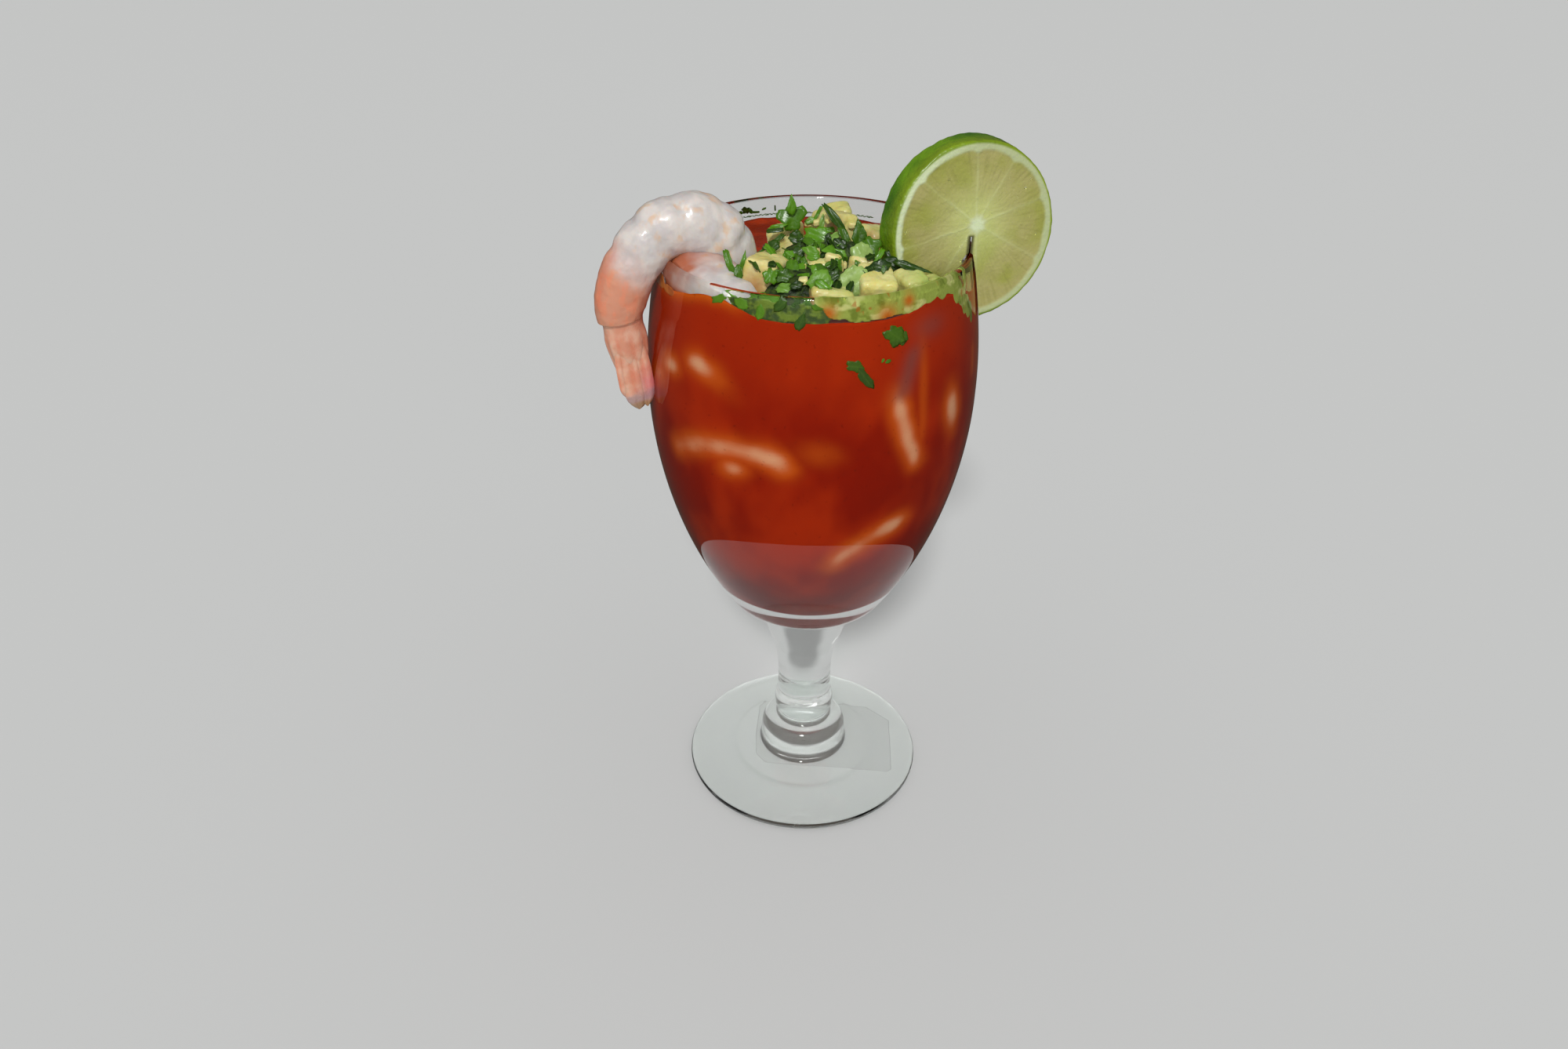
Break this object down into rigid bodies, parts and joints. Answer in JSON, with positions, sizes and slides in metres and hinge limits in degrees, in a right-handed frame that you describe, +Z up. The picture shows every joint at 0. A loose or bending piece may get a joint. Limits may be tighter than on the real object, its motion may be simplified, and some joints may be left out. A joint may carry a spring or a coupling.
{
  "type": "prawn cocktail",
  "caption": "Stemmed glass goblet of tomato seafood sauce with sunken prawns, topped with avocado and coriander, a prawn and a lime wheel on the rim.",
  "frame": {"origin": "on the goblet's axis, at the underside of its foot", "axes": "+Z up along the goblet's axis; +X towards the side of the rim that carries the lime wheel; +Y away from the viewer"},
  "size_m": [0.1163, 0.0906, 0.2063],
  "materials": {
    "clear_glass": "clear, fire-polished pressed soda-lime glass",
    "tomato_sauce": "wet, smooth tomato sauce that light sinks into",
    "prawn_flesh": "moist cooked prawn, white at the thick end and orange-pink towards the tail",
    "lime": "juicy cut lime with pale pith and waxy green rind",
    "avocado": "soft ripe avocado, yellow inside and greener near the skin",
    "coriander": "fresh chopped leaf, slightly glossy and paler underneath"
  },
  "bodies": {
    "root": {"glass": "clear_glass", "sauce": "tomato_sauce", "rim_prawn": "prawn_flesh", "lime_wheel": "lime", "avocado_1": "avocado", "avocado_2": "avocado", "avocado_3": "avocado", "avocado_4": "avocado", "avocado_5": "avocado", "avocado_6": "avocado", "avocado_7": "avocado", "avocado_8": "avocado", "avocado_9": "avocado", "avocado_10": "avocado", "avocado_11": "avocado"}
  },
  "joints": []
}
